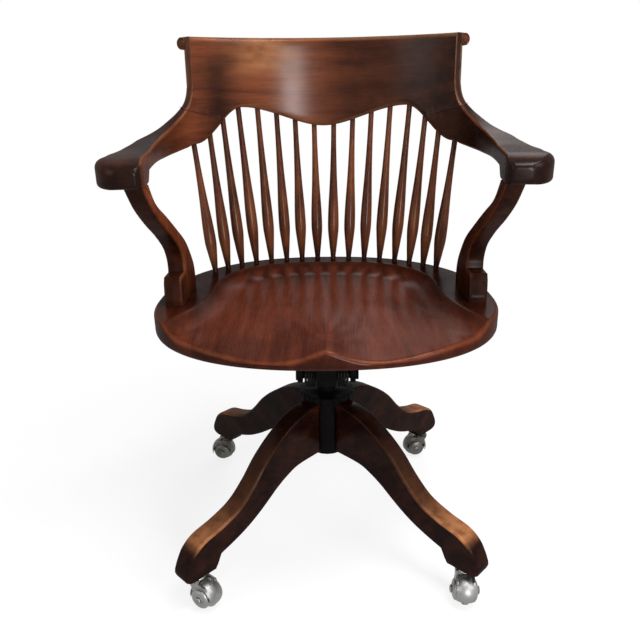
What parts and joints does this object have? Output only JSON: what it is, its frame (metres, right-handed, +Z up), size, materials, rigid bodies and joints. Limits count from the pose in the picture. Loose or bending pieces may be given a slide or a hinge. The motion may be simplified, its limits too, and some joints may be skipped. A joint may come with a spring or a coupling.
{
  "type": "swivel armchair",
  "caption": "Wooden swivel armchair with a scooped seat, a spindle bow back, sawn arms, an iron tilt and height mechanism, and legs on casters.",
  "frame": {"origin": "on the floor, at the swivel axis", "axes": "+Z up, the front of the chair towards -Y"},
  "size_m": [0.5922, 0.5095, 0.842],
  "materials": {
    "seat_wood": "semi-gloss red-brown varnish, worn at the front edge",
    "crest_wood": "semi-gloss warm brown varnish",
    "arm_wood": "semi-gloss dark brown varnish, worn on the arrises",
    "spindle_wood": "satin orange-brown varnish",
    "leg_wood": "satin dark brown varnish, worn tan on top",
    "black_iron": "black, slightly oily",
    "spring_steel": "dark steel",
    "nickel": "worn nickel plate",
    "worn_brass": "dull brass"
  },
  "bodies": {
    "base": {"hub": "black_iron", "hub_cap": "black_iron", "leg_front_left": "leg_wood", "leg_front_right": "leg_wood", "leg_rear_right": "leg_wood", "leg_rear_left": "leg_wood", "caster_socket_front_left": "worn_brass", "caster_socket_front_right": "worn_brass", "caster_socket_rear_right": "worn_brass", "caster_socket_rear_left": "worn_brass"},
    "swivel": {"thrust_washer": "worn_brass"},
    "nut": {"height_nut": "black_iron"},
    "column": {"height_screw": "spring_steel", "yoke": "black_iron", "yoke_pin": "spring_steel", "tilt_shaft": "spring_steel", "shaft_nut": "black_iron", "tilt_spring_left": "spring_steel", "tilt_spring_right": "spring_steel"},
    "top": {"seat": "seat_wood", "spindle_01": "spindle_wood", "spindle_02": "spindle_wood", "spindle_03": "spindle_wood", "spindle_04": "spindle_wood", "spindle_05": "spindle_wood", "spindle_06": "spindle_wood", "spindle_07": "spindle_wood", "spindle_08": "spindle_wood", "spindle_09": "spindle_wood", "spindle_10": "spindle_wood", "spindle_11": "spindle_wood", "spindle_12": "spindle_wood", "spindle_13": "spindle_wood", "spindle_14": "spindle_wood", "spindle_15": "spindle_wood", "spindle_16": "spindle_wood", "crest_panel": "crest_wood", "arm_left": "arm_wood", "arm_right": "arm_wood", "arm_support_left": "arm_wood", "arm_support_right": "arm_wood", "seat_rail_left": "black_iron", "seat_rail_right": "black_iron", "stop_bar": "black_iron", "rail_screw_front_left": "spring_steel", "rail_screw_front_right": "spring_steel", "rail_screw_rear_right": "spring_steel", "rail_screw_rear_left": "spring_steel"},
    "caster_front_left": {"caster_fork_front_left": "nickel", "caster_axle_front_left": "nickel"},
    "wheel_front_left": {"caster_wheel_front_left": "nickel"},
    "caster_front_right": {"caster_fork_front_right": "nickel", "caster_axle_front_right": "nickel"},
    "wheel_front_right": {"caster_wheel_front_right": "nickel"},
    "caster_rear_right": {"caster_fork_rear_right": "nickel", "caster_axle_rear_right": "nickel"},
    "wheel_rear_right": {"caster_wheel_rear_right": "nickel"},
    "caster_rear_left": {"caster_fork_rear_left": "nickel", "caster_axle_rear_left": "nickel"},
    "wheel_rear_left": {"caster_wheel_rear_left": "nickel"}
  },
  "joints": [
    {"name": "seat_swivel", "type": "hinge", "parent": "base", "child": "swivel", "pos_m": [0, 0, 0.2543], "axis": [0, 0, 1], "continuous": true},
    {"name": "nut_turn", "type": "hinge", "parent": "swivel", "child": "nut", "pos_m": [0, 0, 0.2626], "axis": [0, 0, -1], "range_deg": [0, 3402]},
    {"name": "height_slide", "type": "slide", "parent": "swivel", "child": "column", "axis": [0, 0, 1], "range_m": [0, 0.06]},
    {"name": "seat_tilt", "type": "hinge", "parent": "column", "child": "top", "pos_m": [0, 0, 0.293], "axis": [-1, 0, 0], "range_deg": [0, 14], "stiffness_Nm_per_rad": 120, "springref_deg": -8.59, "deforming": ["tilt_spring_left", "tilt_spring_right"]},
    {"name": "caster_swivel_front_left", "type": "hinge", "parent": "base", "child": "caster_front_left", "pos_m": [-0.20238, -0.21326, 0.05], "axis": [0, 0, 1], "continuous": true},
    {"name": "wheel_spin_front_left", "type": "hinge", "parent": "caster_front_left", "child": "wheel_front_left", "pos_m": [-0.19112, -0.21976, 0.0225], "axis": [0.5, 0.866, 0], "continuous": true},
    {"name": "caster_swivel_front_right", "type": "hinge", "parent": "base", "child": "caster_front_right", "pos_m": [0.21326, -0.20238, 0.05], "axis": [0, 0, 1], "continuous": true},
    {"name": "wheel_spin_front_right", "type": "hinge", "parent": "caster_front_right", "child": "wheel_front_right", "pos_m": [0.21213, -0.21533, 0.0225], "axis": [0.9962, -0.0872, 0], "continuous": true},
    {"name": "caster_swivel_rear_right", "type": "hinge", "parent": "base", "child": "caster_rear_right", "pos_m": [0.20238, 0.21326, 0.05], "axis": [0, 0, 1], "continuous": true},
    {"name": "wheel_spin_rear_right", "type": "hinge", "parent": "caster_rear_right", "child": "wheel_rear_right", "pos_m": [0.18943, 0.21213, 0.0225], "axis": [0.0872, -0.9962, 0], "continuous": true},
    {"name": "caster_swivel_rear_left", "type": "hinge", "parent": "base", "child": "caster_rear_left", "pos_m": [-0.21326, 0.20238, 0.05], "axis": [0, 0, 1], "continuous": true},
    {"name": "wheel_spin_rear_left", "type": "hinge", "parent": "caster_rear_left", "child": "wheel_rear_left", "pos_m": [-0.22621, 0.20351, 0.0225], "axis": [-0.0872, -0.9962, 0], "continuous": true}
  ],
  "couplings": [
    {"joint": "nut_turn", "follows": "height_slide", "rad_per_m": 989.48}
  ]
}
